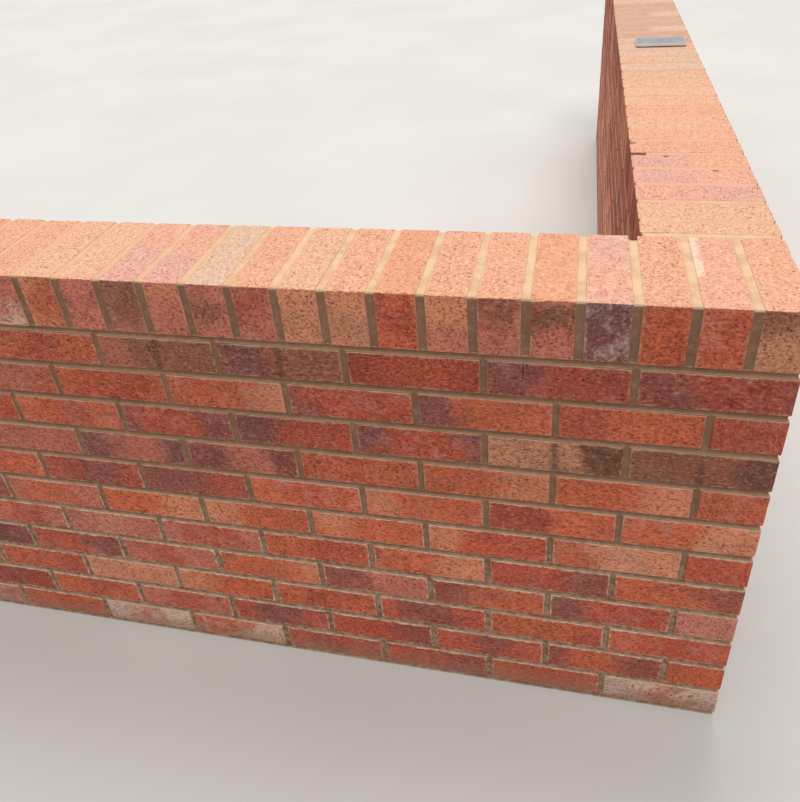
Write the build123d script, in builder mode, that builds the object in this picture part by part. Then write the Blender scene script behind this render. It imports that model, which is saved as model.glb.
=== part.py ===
"""A low brick garden wall on the corner of a plot, capped with bricks on edge.

The wall turns a square corner. The front arm runs along -X and the side arm along +Y.
It is one brick thick: two leaves laid in stretcher bond with a filled joint between them.
The origin is at the foot of the wall, where the centre lines of the two arms cross.
All sizes are in millimetres.
"""
import os
from math import sqrt

from build123d import *

os.makedirs("parts", exist_ok=True)

# The brick
brick_length = 215.0
brick_width = 102.5
brick_height = 65.0
brick_arris = 2.0

# The joints, and the round bar that presses them hollow
perpend = 10.0
bed_joint = 11.0
collar_joint = 10.0
coping_joint = 13.0
raked_depth = 3.0
jointer_radius = 9.0

# The wall
course_count = 11
stretchers_per_bay = 5
front_bays = 2
side_bays = 3

# The thin brick that starts the coping of the side arm
cut_brick_thickness = 41.0

# Mortar that has fallen out of two coping joints, at the garden side
front_loss_joint = 2
front_loss_length = 16.0
side_loss_joint = 5
side_loss_length = 30.0
loss_depth = 35.0

# The plate that lies on the side arm
plate_length = 140.0
plate_depth = 78.0
plate_thickness = 10.0
plate_distance = 1462.0
plate_inset = 24.0
plate_bevel = 2.5

# Sizes that follow
wall_thickness = 2 * brick_width + collar_joint
half_thickness = wall_thickness / 2
gauge = brick_height + bed_joint
bay_length = stretchers_per_bay * (brick_length + perpend)
front_length = front_bays * bay_length - perpend
side_length = side_bays * bay_length - perpend
masonry_top = course_count * gauge
coping_base = masonry_top + bed_joint
coping_top = coping_base + brick_width

# Where the leaves lie across the wall, and where a leaf starts behind the one it meets
whole_wall = (0.0, wall_thickness)
outer_leaf = (0.0, brick_width)
inner_leaf = (brick_width + collar_joint, wall_thickness)
behind_outer_leaf = brick_width + perpend
behind_wall = wall_thickness + perpend


def plan_point(arm, along, across):
    """A point on plan, `along` from the wall's outer corner and `across` from its outer face."""
    if arm == "front":
        return half_thickness - along, across - half_thickness
    return half_thickness - across, along - half_thickness


def moved_along(arm, distance):
    """The shift on plan that moves a piece along its arm."""
    return (-distance, 0, 0) if arm == "front" else (0, distance, 0)


def plan_size(arm, run, depth):
    """The size on plan of a stretch of an arm, as its X and Y lengths."""
    return (run, depth) if arm == "front" else (depth, run)


def stretches(arm, plans, bottom, height):
    """Solids of one height that stand on given stretches of an arm."""
    with BuildPart() as group:
        with BuildSketch(Plane.XY.offset(bottom)):
            for along, across in plans:
                with Locations(plan_point(arm, sum(along) / 2, sum(across) / 2)):
                    Rectangle(*plan_size(arm, along[1] - along[0], across[1] - across[0]))
        extrude(amount=height)
    return group.part


def finish(part, label):
    part.label = label
    export_step(part, f"parts/{label}.step")


# Courses of brickwork, counted from the foot
def course_plan(arm_length, runs_through):
    """The brick runs of one course of an arm.

    A course that runs through shows a stretcher at the quoin and at the stopped end.
    The next one butts against the other arm, and a brick laid across closes its end.
    """
    if runs_through:
        return [
            ((0.0, arm_length), outer_leaf),
            ((behind_outer_leaf, arm_length), inner_leaf),
        ]
    closer_start = arm_length - brick_width
    return [
        ((behind_outer_leaf, closer_start - perpend), outer_leaf),
        ((behind_wall, closer_start - perpend), inner_leaf),
        ((closer_start, arm_length), whole_wall),
    ]


courses = []
for number in range(1, course_count + 1):
    bottom = number * gauge - brick_height
    front_runs_through = number % 2 == 1
    front_plan = course_plan(front_length, front_runs_through)
    side_plan = course_plan(side_length, not front_runs_through)
    front_course = stretches("front", front_plan, bottom, brick_height)
    side_course = stretches("side", side_plan, bottom, brick_height)
    finish(front_course, f"front_course_{number:02d}")
    finish(side_course, f"side_course_{number:02d}")
    courses.append([front_course, side_course])


# Upright mortar inside each course: the joint between the leaves, the joints where the
# arms meet, and the joint before each closing brick, all raked back from the faces
raked_across = (raked_depth, wall_thickness - raked_depth)
raked_front = [((raked_depth, front_length - raked_depth), raked_across)]
raked_side = [((wall_thickness - raked_depth, side_length - raked_depth), raked_across)]


def collar(arm, plan):
    with BuildPart() as mortar:
        for number in range(1, course_count + 1):
            add(stretches(arm, plan, number * gauge - brick_height, brick_height))
        for front_course, side_course in courses:
            add(front_course, mode=Mode.SUBTRACT)
            add(side_course, mode=Mode.SUBTRACT)
    return mortar.part


finish(collar("front", raked_front), "front_collar_joint")
finish(collar("side", raked_side), "side_collar_joint")


# Bed joints, pressed hollow by the round bar along every open face
def bar(start, end, outward, joint):
    """The bar where it presses one hollow, with its middle out beyond the face."""
    reach = sqrt(jointer_radius**2 - (joint / 2) ** 2)
    run = Vector(*end) - Vector(*start)
    bar_start = Vector(*start) + Vector(*outward) * reach
    with BuildPart() as round_bar:
        with BuildSketch(Plane(origin=bar_start, z_dir=run)):
            Circle(jointer_radius)
        extrude(amount=run.length)
    return round_bar.part


def bed(arm, start, length, bottom):
    """One bed joint of an arm, hollow on its two faces and at its stopped end."""
    middle = bottom + bed_joint / 2
    outward = {"front": (0, -1, 0), "side": (1, 0, 0)}[arm]
    onward = {"front": (-1, 0, 0), "side": (0, 1, 0)}[arm]
    inward = tuple(-value for value in outward)
    backward = tuple(-value for value in onward)
    overrun = jointer_radius
    outer_start = (*plan_point(arm, start - overrun, 0), middle)
    outer_end = (*plan_point(arm, length + overrun, 0), middle)
    inner_start = (*plan_point(arm, wall_thickness, wall_thickness), middle)
    inner_end = (*plan_point(arm, length + overrun, wall_thickness), middle)
    with BuildPart() as joint:
        add(stretches(arm, [((start, length), whole_wall)], bottom, bed_joint))
        add(bar(outer_start, outer_end, outward, bed_joint), mode=Mode.SUBTRACT)
        add(bar(inner_start, inner_end, inward, bed_joint), mode=Mode.SUBTRACT)
        for at, facing in ((length, onward), (0.0, backward)):
            if start <= at:
                face_start = (*plan_point(arm, at, -overrun), middle)
                face_end = (*plan_point(arm, at, wall_thickness + overrun), middle)
                add(bar(face_start, face_end, facing, bed_joint), mode=Mode.SUBTRACT)
    return joint.part


bed_levels = [number * gauge for number in range(1, course_count)]
for arm, start, length in (("front", 0.0, front_length), ("side", wall_thickness, side_length)):
    one_bed = bed(arm, start, length, 0.0)
    with BuildPart() as beds:
        with Locations(*[(0, 0, level) for level in bed_levels]):
            add(one_bed)
    finish(beds.part, f"{arm}_bed_joints")
    with BuildPart() as coping_bed:
        with Locations((0, 0, masonry_top)):
            add(one_bed)
    finish(coping_bed.part, f"{arm}_coping_bed")
    foot_bed = stretches(arm, [((start, length), whole_wall)], 0.0, bed_joint)
    finish(foot_bed, f"{arm}_foot_bed")


# Coping bricks stand on edge across the wall, with every arris eased but those in the bed
def coping_bricks(arm, starts, thickness):
    with BuildPart() as row:
        add(stretches(arm, [((s, s + thickness), whole_wall) for s in starts], coping_base, brick_width))
        chamfer(row.edges().group_by(Axis.Z)[1:], brick_arris)
    return row.part


# Coping joints are pressed hollow over the top and down the faces that stay open
def coping_joint_at_corner(arm, thickness, open_behind):
    """One joint, at the start of its arm, to be moved along to its place."""
    middle = thickness / 2
    sides = [(0.0, -1), (wall_thickness, 1)] if open_behind else [(0.0, -1)]
    with BuildPart() as joint:
        add(stretches(arm, [((0.0, thickness), whole_wall)], coping_base, brick_width))
        front_of_bar = (*plan_point(arm, middle, -jointer_radius), coping_top)
        back_of_bar = (*plan_point(arm, middle, wall_thickness + jointer_radius), coping_top)
        add(bar(front_of_bar, back_of_bar, (0, 0, 1), thickness), mode=Mode.SUBTRACT)
        for across, sign in sides:
            foot = (*plan_point(arm, middle, across), coping_base)
            head = (*plan_point(arm, middle, across), coping_top + jointer_radius)
            outward = (0, sign, 0) if arm == "front" else (-sign, 0, 0)
            add(bar(foot, head, outward, thickness), mode=Mode.SUBTRACT)
    return joint.part


def coping_joints(arm, starts, thickness, loss_joint, loss_length):
    """All the coping joints of an arm. Those within the corner stay full behind."""
    lost_along = (starts[loss_joint], starts[loss_joint] + thickness)
    lost_across = (wall_thickness - loss_length, wall_thickness)
    with BuildPart() as joints:
        for open_behind in (False, True):
            group = [s for s in starts if open_behind == (arm == "side" or s > wall_thickness)]
            if group:
                with Locations(*[moved_along(arm, s) for s in group]):
                    add(coping_joint_at_corner(arm, thickness, open_behind))
        lost = stretches(arm, [(lost_along, lost_across)], coping_top - loss_depth, loss_depth)
        add(lost, mode=Mode.SUBTRACT)
    return joints.part


def in_bay(starts, bay):
    """The coping bricks whose middles lie in one bay."""
    return [s for s in starts if bay * bay_length <= s + brick_height / 2 < (bay + 1) * bay_length]


# Front coping: whole bricks fill the arm, and the joints share what is left
front_coping_count = round((front_length + coping_joint) / (brick_height + coping_joint))
front_joint = (front_length - front_coping_count * brick_height) / (front_coping_count - 1)
front_starts = [i * (brick_height + front_joint) for i in range(front_coping_count)]
front_joint_starts = [s + brick_height for s in front_starts[:-1]]

finish(coping_bricks("front", front_starts[:1], brick_height), "corner_coping_brick")
for bay in range(front_bays):
    row = coping_bricks("front", in_bay(front_starts[1:], bay), brick_height)
    finish(row, f"front_coping_bay_{bay + 1}")
front_joints = coping_joints("front", front_joint_starts, front_joint, front_loss_joint, front_loss_length)
finish(front_joints, "front_coping_joints")

# Side coping: a cut brick behind the front coping, then whole bricks
side_run = side_length - wall_thickness - cut_brick_thickness
side_coping_count = round((side_run - coping_joint) / (brick_height + coping_joint))
side_joint = (side_run - side_coping_count * brick_height) / (side_coping_count + 1)
cut_start = wall_thickness + side_joint
first_whole = cut_start + cut_brick_thickness + side_joint
side_starts = [first_whole + i * (brick_height + side_joint) for i in range(side_coping_count)]
side_joint_starts = [s + brick_height for s in side_starts[:-1]]
side_joint_starts = [wall_thickness, first_whole - side_joint] + side_joint_starts

finish(coping_bricks("side", [cut_start], cut_brick_thickness), "cut_coping_brick")
for bay in range(side_bays):
    row = coping_bricks("side", in_bay(side_starts, bay), brick_height)
    finish(row, f"side_coping_bay_{bay + 1}")
side_joints = coping_joints("side", side_joint_starts, side_joint, side_loss_joint, side_loss_length)
finish(side_joints, "side_coping_joints")

# The bare plate on the side arm
plate_along = (plate_distance, plate_distance + plate_depth)
plate_across = (plate_inset, plate_inset + plate_length)
with BuildPart() as plate:
    add(stretches("side", [(plate_along, plate_across)], coping_top, plate_thickness))
    chamfer(plate.edges().group_by(Axis.Z)[-1], plate_bevel)
finish(plate.part, "wall_plate")

print("front arm", front_length, "side arm", side_length, "top of the coping", coping_top)
print("coping joints", round(front_joint, 2), "and", round(side_joint, 2))
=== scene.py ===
# %% [markdown]
# # A brick garden wall that turns a corner
# The packed model of the wall comes in first and stays as it is: it says where every course,
# joint and coping brick goes. Each step then dresses one kind of piece. Bricks and mortar are
# meshed here one by one, because the packed model has only whole courses and plain joints.

# %% Load the packed wall
import math
import random

import bpy
import numpy as np
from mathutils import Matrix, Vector, noise


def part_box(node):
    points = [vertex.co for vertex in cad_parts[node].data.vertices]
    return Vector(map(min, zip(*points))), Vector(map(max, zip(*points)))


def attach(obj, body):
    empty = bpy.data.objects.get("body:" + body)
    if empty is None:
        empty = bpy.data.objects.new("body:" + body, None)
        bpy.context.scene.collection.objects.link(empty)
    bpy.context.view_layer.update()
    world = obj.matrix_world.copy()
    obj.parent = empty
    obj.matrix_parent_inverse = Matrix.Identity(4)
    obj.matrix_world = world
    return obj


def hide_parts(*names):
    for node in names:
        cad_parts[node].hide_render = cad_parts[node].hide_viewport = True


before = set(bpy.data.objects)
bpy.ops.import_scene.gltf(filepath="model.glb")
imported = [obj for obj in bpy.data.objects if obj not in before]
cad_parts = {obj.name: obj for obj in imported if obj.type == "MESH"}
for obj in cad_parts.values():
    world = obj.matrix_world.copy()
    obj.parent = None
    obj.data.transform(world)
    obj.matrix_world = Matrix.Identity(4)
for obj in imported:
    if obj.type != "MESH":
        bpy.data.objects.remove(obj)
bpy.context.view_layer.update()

# %% [markdown]
# ## Sizes read from the wall
# A dressed brick has to sit exactly where the packed course is. So the sizes are read from the
# boxes of the packed pieces, and only what a box can't say, such as the joint between two
# stretchers, is written here.

# %% Read the sizes
foot_low, foot_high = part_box("front_foot_bed")
THICKNESS = foot_high.y - foot_low.y
HALF = THICKNESS / 2
ARM_LENGTH = {
    "front": foot_high.x - foot_low.x,
    "side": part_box("side_foot_bed")[1].y + HALF,
}
COURSES = sum(name.startswith("front_course_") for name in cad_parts)
COURSE_LOW = [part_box(f"front_course_{n:02d}")[0].z for n in range(1, COURSES + 1)]
COURSE_HIGH = [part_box(f"front_course_{n:02d}")[1].z for n in range(1, COURSES + 1)]
BRICK_HEIGHT = COURSE_HIGH[0] - COURSE_LOW[0]
BED = COURSE_LOW[1] - COURSE_HIGH[0]
COPING_LOW, COPING_HIGH = (corner.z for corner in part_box("corner_coping_brick"))
BRICK_LENGTH = 0.215
BRICK_WIDTH = 0.1025
PERPEND = 0.010
PITCH = BRICK_LENGTH + PERPEND
MM = 0.001
print("arms", ARM_LENGTH, "courses", COURSES, "bed joint", round(BED, 4))

# %% [markdown]
# ## One ruler for both arms
# Both arms are laid the same way, so every piece is described by three numbers: how far along
# its arm it is from the outer corner, how far across from the outer face, and how high. This
# cell turns those into places in the wall's own frame.

# %% Places along an arm
ARMS = ("front", "side")


def place(arm, along, across, up):
    """Turn arrays of along, across and up into an array of points."""
    along, across, up = np.broadcast_arrays(along, across, up)
    if arm == "front":
        return np.stack([HALF - along, across - HALF, up], axis=-1)
    return np.stack([HALF - across, along - HALF, up], axis=-1)


def node_span(node, arm):
    """Where a packed node starts and ends along its arm."""
    low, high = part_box(node)
    if arm == "front":
        return HALF - high.x, HALF - low.x
    return low.y + HALF, high.y + HALF


print("one metre along the side arm:", place("side", 1.0, 0.0, 0.0).tolist())

# %% [markdown]
# ## A bag of pieces
# A course has up to thirty bricks. As separate objects they would be slow and hard to handle,
# so bricks are gathered in a bag of points and faces, and the bag becomes one mesh. What is
# different from brick to brick travels with the points as attributes that the finish reads.

# %% Gather points, faces and attributes
triangles = {}
ATTRIBUTES = {
    "clay": "FLOAT_COLOR",
    "flash": "FLOAT_COLOR",
    "weathered": "FLOAT_COLOR",
    "weathered_far": "FLOAT_COLOR",
    "flash_place": "FLOAT_VECTOR",
    "brick_at": "FLOAT_VECTOR",
    "brick_lot": "FLOAT_VECTOR",
    "to_joint": "FLOAT",
    "limed": "FLOAT",
}
FIELDS = {"FLOAT_COLOR": "color", "FLOAT_VECTOR": "vector", "FLOAT": "value"}
SHARP_ANGLE = 50
NO_LIME = [[0.0]]


class Bag:
    """Bricks or joints of one arm, gathered for one mesh."""

    def __init__(self, arm):
        self.arm = arm
        self.points = []
        self.faces = []
        self.count = 0
        self.attributes = {name: [] for name in ATTRIBUTES}

    def put(self, along, across, up, faces, turned=False, limed=NO_LIME, **attributes):
        """Add one closed shell. `turned` tells that its faces look inwards as they come."""
        points = place(self.arm, along, across, up)
        flip = (self.arm == "front") != turned
        for face in faces:
            shifted = [self.count + i for i in face]
            self.faces.append(shifted[::-1] if flip else shifted)
        self.points.append(points)
        self.count += len(points)
        for name, value in dict(attributes, limed=limed).items():
            value = np.asarray(value, dtype=float)
            self.attributes[name].append(np.broadcast_to(value, (len(points), value.shape[-1])))

    def dress(self, name, material, node):
        """Make one piece of all that the bag holds. It takes the place of a packed node."""
        mesh = bpy.data.meshes.new(name)
        mesh.from_pydata(np.concatenate(self.points).tolist(), [], self.faces)
        for key, kind in ATTRIBUTES.items():
            if self.attributes[key]:
                values = np.concatenate(self.attributes[key]).astype(np.float32)
                layer = mesh.attributes.new(key, kind, "POINT")
                layer.data.foreach_set(FIELDS[kind], values.ravel())
        mesh.materials.append(material)
        mesh.shade_smooth()
        mesh.set_sharp_from_angle(angle=math.radians(SHARP_ANGLE))
        mesh.update()
        piece = bpy.data.objects.new(name, mesh)
        bpy.context.collection.objects.link(piece)
        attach(piece, "root")
        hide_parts(node)
        triangles[name] = sum(len(face.vertices) - 2 for face in mesh.polygons)


def quads(near, far):
    """Four-sided faces between rows of points. `near` and `far` hold the points' numbers."""
    corners = [near[:, :-1], far[:, :-1], far[:, 1:], near[:, 1:]]
    return np.stack(corners, axis=-1).reshape(-1, 4).tolist()


def so_far(what):
    print(what, "done, triangles so far:", sum(triangles.values()))


print("attributes on each point:", ", ".join(ATTRIBUTES))

# %% [markdown]
# ## Uneven surfaces
# Nothing on a brick is quite flat or straight. One smooth noise, the same each run, bends the
# faces, eats the edges and makes the mortar waver. It is sampled in metres, so the size of the
# unevenness is true to scale.

# %% Noise for shapes
SEED_SHIFT = (7.31, 3.17, 5.53)


def waver(points, size, seed):
    """Smooth values between about -1 and 1 at each point, with bumps of the given size."""
    shift = Vector([seed * factor for factor in SEED_SHIFT])
    return np.array([noise.noise(Vector(p) / size + shift) for p in points])


def steps(length, edge, pitch):
    """Positions from 0 to length: close together near both edges, then evenly spaced."""
    inner = length - 2 * edge[-1]
    count = max(1, round(inner / pitch))
    middle = [edge[-1] + inner * i / count for i in range(1, count)]
    return np.array(list(edge) + middle + [length - e for e in reversed(edge)])


print("steps along a brick's height:", steps(BRICK_HEIGHT, (0.0, 3 * MM), 14 * MM).round(4))

# %% [markdown]
# ## Worn arrises
# The edges of a brick are called arrises. They are never sharp: they wear round by a millimetre
# or two, and here and there a chip has gone. So the radius wanders along the edge with the noise,
# and where a second, broader noise is high it grows into a chip.

# %% Worn arrises
EDGE_STEPS = (0.0, 1.2 * MM, 3.0 * MM, 6.0 * MM)
ARRIS = 1.8
ARRIS_WANDER = 1.2
CHIP_DEPTH = 14
CHIP_RARITY = 0.5
FINE, COARSE = 14 * MM, 45 * MM
COARSE_SEED, DIP_SEED = 11, 5
FACE_DIP = 0.45 * MM
BLOCK_DIP = 0.4 * MM
DIP_SIZE = 60 * MM


def rolled(distance, radius):
    """How far a rounded arris stands back at some distance from the edge."""
    inside = np.clip(radius - distance, 0, radius)
    return radius - np.sqrt(np.maximum(radius**2 - inside**2, 0))


def arris_radius(points, seed):
    """Radius of the arris at each point, small for the most part with chips in places."""
    fine = waver(points, FINE, seed)
    coarse = waver(points, COARSE, seed + COARSE_SEED)
    chips = np.clip(coarse + 0.4 * fine - CHIP_RARITY, 0, 1)
    return MM * (ARRIS + ARRIS_WANDER * fine + CHIP_DEPTH * chips)


def dipped(points, depth, seed):
    """How far a face stands back because it isn't quite flat: from 0 to twice `depth`."""
    return depth + depth * waver(points, DIP_SIZE, seed + DIP_SEED)


edge = np.array([[0.0, 0.0, up * MM] for up in range(0, 65, 5)])
radii = arris_radius(edge, 1.0) / MM
print("arris radius along an edge:", radii.min().round(1), "to", radii.max().round(1), "mm")

# %% [markdown]
# ## A brick that shows one face
# Most bricks show only their face, so only the face has a fine grid. It rolls back at the
# arrises, and plain sides run back into the mortar. One brick of the top course has a fine crack:
# three columns of the grid stand close together there, and the middle one is pushed in.

# %% Face bricks
FACE_LEAST_ARRIS = 0.6 * MM
FINER_UPWARDS = 0.85
CRACK_HALF_WIDTH = 0.7 * MM
CRACK_DEPTH = 9 * MM
CRACK_SHARE = 0.45


def face_brick(length, height, depth, seed, pitch, crack=None):
    """Points in (along, back, up) and faces of a brick that shows only its face.

    `crack` is how far along the face a fine crack runs down from its top edge.
    """
    a_steps = steps(length, EDGE_STEPS, pitch)
    if crack:
        sides = (crack - CRACK_HALF_WIDTH, crack, crack + CRACK_HALF_WIDTH)
        a_steps = np.array(sorted([*a_steps, *sides]))
    b_steps = steps(height, EDGE_STEPS, FINER_UPWARDS * pitch)
    a, b = np.meshgrid(a_steps, b_steps, indexing="ij")
    a, b = a.ravel(), b.ravel()
    flat = np.stack([a, np.zeros_like(a), b], axis=1)
    radius = np.maximum(arris_radius(flat, seed), FACE_LEAST_ARRIS)
    back = rolled(np.minimum(a, length - a), radius) + rolled(np.minimum(b, height - b), radius)
    back += dipped(flat, FACE_DIP, seed)
    if crack:
        split = np.isclose(a, crack) & (b > (1 - CRACK_SHARE) * height)
        back += np.where(split, CRACK_DEPTH, 0.0)
    points = np.stack([a, back, b], axis=1)
    grid = np.arange(len(points)).reshape(len(a_steps), len(b_steps))
    faces = quads(grid[:-1], grid[1:])
    rim = np.concatenate([grid[:, 0], grid[-1, 1:], grid[-2::-1, -1], grid[0, -2:0:-1]]).tolist()
    start = len(points)
    behind = points[rim].copy()
    behind[:, 1] = depth
    points = np.concatenate([points, behind])
    size = len(rim)
    for i in range(size):
        j = (i + 1) % size
        faces.append((rim[j], rim[i], start + i, start + j))
    faces.append([start + i for i in range(size)])
    return points, faces


def tell(what, shape):
    print(what, "has", len(shape[0]), "points and", len(shape[1]), "faces")


tell("a face brick", face_brick(BRICK_LENGTH, BRICK_HEIGHT, BRICK_WIDTH, 1.0, 14 * MM))

# %% [markdown]
# ## A brick that shows several faces
# Bricks at the quoin, at the stopped ends and on the coping turn a corner in plain view. They
# are whole boxes with a grid on all sides, rounded by pulling each point towards a smaller box
# inside.

# %% Corner bricks and coping bricks
BLOCK_LEAST_ARRIS = 0.8 * MM


def block_brick(size, pitch, seed, edge=EDGE_STEPS):
    """Points and faces of a whole brick with rounded, uneven arrises."""
    axes = [steps(length, edge, pitch) for length in size]
    index = {}
    points = []
    faces = []

    def corner(i, j, k):
        key = (i, j, k)
        if key not in index:
            index[key] = len(points)
            points.append((axes[0][i], axes[1][j], axes[2][k]))
        return index[key]

    counts = [len(axis) - 1 for axis in axes]
    for fixed in range(3):
        u, v = [n for n in range(3) if n != fixed]
        for end in (0, counts[fixed]):
            outward = (end > 0) == (fixed != 1)
            for i in range(counts[u]):
                for j in range(counts[v]):
                    quad = []
                    for du, dv in ((0, 0), (1, 0), (1, 1), (0, 1)):
                        at = [0, 0, 0]
                        at[fixed], at[u], at[v] = end, i + du, j + dv
                        quad.append(corner(*at))
                    faces.append(quad if outward else quad[::-1])
    points = np.array(points)
    size = np.array(size)
    radius = np.maximum(arris_radius(points, seed), BLOCK_LEAST_ARRIS)[:, None]
    core = np.clip(points, radius, size - radius)
    away = points - core
    reach = np.linalg.norm(away, axis=1, keepdims=True)
    away = np.divide(away, reach, out=np.zeros_like(away), where=reach > 1e-9)
    inset = dipped(points, BLOCK_DIP, seed)[:, None]
    return core + away * np.maximum(radius - inset, 0.0), faces


tell("a corner brick", block_brick((BRICK_LENGTH, BRICK_WIDTH, BRICK_HEIGHT), 16 * MM, 1.0))

# %% [markdown]
# ## Mortar pressed hollow
# The joints were finished with a round bar drawn along the wet mortar. It leaves a hollow that
# is deepest in the middle and almost level with the brick at its edges. A joint is a ring of
# strips round a block: the strips on open faces are pressed in, the others stay buried.

# %% Pressed joints
PRESS_DEPTH = 3.6 * MM
EDGE_DEPTH = 0.6 * MM
LAP = 1.4 * MM
DIP = 1.9 * MM
CORNER_RADIUS = 3 * MM
CORNER_SHARES = (0.4, 1.0)
LEAST_STEP = 0.4 * MM
LEAST_DEPTH = 0.1 * MM
MORTAR_SWAY = 0.5 * MM
SWAY_SIZE = 18 * MM
SHARES_ACROSS = (0.05, 0.16, 0.32, 0.5, 0.68, 0.84, 0.95)
NEIGHBOURS = {
    "outer": ("start", "end"), "inner": ("start", "end"),
    "start": ("outer", "inner"), "end": ("outer", "inner"),
}
INWARD = {"outer": (0, 1), "inner": (0, -1), "start": (1, 0), "end": (-1, 0)}


def pressed(v, width):
    """Depth of the hollow at a distance v across a joint of the given width.

    Beyond the joint the mortar dips under the rounded arris of the brick.
    """
    t = np.clip(2 * v / width - 1, -1, 1)
    hollow = EDGE_DEPTH + (PRESS_DEPTH - EDGE_DEPTH) * np.sqrt(np.maximum(1 - t * t, 0))
    beyond = np.maximum(-v, 0) + np.maximum(v - width, 0)
    return hollow + beyond / LAP * DIP


halfway = float(pressed(PERPEND / 2, PERPEND))
print("a joint is pressed in by", round(halfway / MM, 1), "mm at the middle")

# %% [markdown]
# ## Where a joint has its points
# A joint can be three metres long and one centimetre wide. Points stand at even steps where the
# joint shows, close together where it turns an open corner, and nowhere else.

# %% Stations round a joint
def stations_on(side, size, spacing, open_sides, marks=()):
    """Places along one side of a block, with more of them where it turns an open corner."""
    is_open = side in open_sides
    places = list(steps(size, (0.0,), spacing if is_open else size))
    places += [mark for mark in marks if is_open and 0 < mark < size]
    for end, neighbour in enumerate(NEIGHBOURS[side]):
        if is_open and neighbour in open_sides:
            near = [CORNER_RADIUS * share for share in CORNER_SHARES]
            places += [size - d for d in near] if end else near
    kept = [0.0]
    for at in sorted(places):
        if LEAST_STEP < at - kept[-1] and at < size - LEAST_STEP:
            kept.append(at)
    return kept + [size]


def round_corner(at, size, side, open_sides, buried):
    """Bend a station near an open corner onto an arc: its place along and its depth."""
    if side not in open_sides:
        return at, 0.0
    for end, neighbour in enumerate(NEIGHBOURS[side]):
        distance = size - at if end else at
        level = side == "inner" and distance < buried
        if neighbour in open_sides and distance < CORNER_RADIUS and not (level and not end):
            angle = math.pi / 4 * (1 - distance / CORNER_RADIUS)
            moved = CORNER_RADIUS * (1 - math.sin(angle))
            return (size - moved if end else moved), CORNER_RADIUS * (1 - math.cos(angle))
    return at, 0.0


def depth_on_outer(hollow, v, width, share):
    """The outer side is pressed less than the others, but dips as much beside the joint."""
    return hollow if v < 0 or v > width else hollow * share


print("stations on the face of an upright joint:",
      len(stations_on("outer", BRICK_HEIGHT, 9 * MM, ("outer",))))

# %% [markdown]
# ## One joint
# Each station carries a strip of points across the joint, from under one brick to under the
# other. Strip by strip they make a closed ring, and two caps close it above and below.

# %% One pressed joint
def pressed_block(length, depth, width, open_sides, seed, spacing,
                  extra=(), crossing=None, buried=0.0, outer_share=1.0):
    """Points in (run, back, v) and faces of one joint; v runs across the joint.

    The first part of the inner side, as long as `buried`, is left level. The outer side is
    pressed in by `outer_share` of the full depth.
    """
    outer = stations_on("outer", length, spacing, open_sides, extra)
    inner = stations_on("inner", length, spacing, open_sides, extra)
    ring = [("outer", at) for at in outer]
    ring += [("end", at) for at in stations_on("end", depth, spacing, open_sides)[1:-1]]
    ring += [("inner", at) for at in reversed(inner)]
    ring += [("start", at) for at in stations_on("start", depth, spacing, open_sides)[-2:0:-1]]
    across = np.array([-LAP, *[share * width for share in SHARES_ACROSS], width + LAP])
    base = pressed(across, width)
    points = []
    for side, place_on_side in ring:
        size = length if side in ("outer", "inner") else depth
        level = side == "inner" and place_on_side < buried
        moved, sunk = round_corner(place_on_side, size, side, open_sides, buried)
        run, back = {
            "outer": (moved, sunk), "inner": (moved, depth - sunk),
            "start": (sunk, moved), "end": (length - sunk, moved),
        }[side]
        for v, hollow in zip(across, base):
            inset = {name: hollow if name in open_sides else 0.0 for name in INWARD}
            if side == "outer":
                inset["outer"] = depth_on_outer(hollow, v, width, outer_share)
            x = inset["start"] + run / length * (length - inset["start"] - inset["end"])
            y = inset["outer"] + back / depth * (depth - inset["outer"] - inset["inner"])
            deeper = 0.0
            if level:
                deeper = -inset["inner"]
            elif side in open_sides:
                spot = Vector((run, back, v)) / SWAY_SIZE + Vector((seed, 0, 0))
                deeper = MORTAR_SWAY * noise.noise(spot)
                if crossing:
                    deeper = max(deeper, crossing(run, v / width, side) - hollow)
                deeper = max(deeper, LEAST_DEPTH - inset[side])
            points.append((x + deeper * INWARD[side][0], y + deeper * INWARD[side][1], v))
    grid = np.arange(len(points)).reshape(len(ring), len(across))
    faces = quads(grid, np.roll(grid, -1, axis=0))
    faces += [grid[::-1, 0].tolist(), grid[:, -1].tolist()]
    return np.array(points), faces


tell("an upright joint", pressed_block(BRICK_HEIGHT, BRICK_WIDTH, PERPEND, ("outer",), 1.0, 9 * MM))

# %% [markdown]
# ## What the fired clay looks like
# These bricks came out of the kiln in many shades: orange reds for the most part, some plum or
# purple where they touched in the stack, some brown and buff. Each brick gets a body shade and a
# patch of a second shade. The list of shades is short, and each brick takes one by name.

# %% Shades of the bricks
def srgb(r, g, b):
    """A colour given as it looks on a screen, 0 to 255, as the linear values Blender mixes."""
    def linear(c):
        c /= 255
        return c / 12.92 if c <= 0.04045 else ((c + 0.055) / 1.055) ** 2.4

    return (linear(r), linear(g), linear(b), 1.0)


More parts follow.
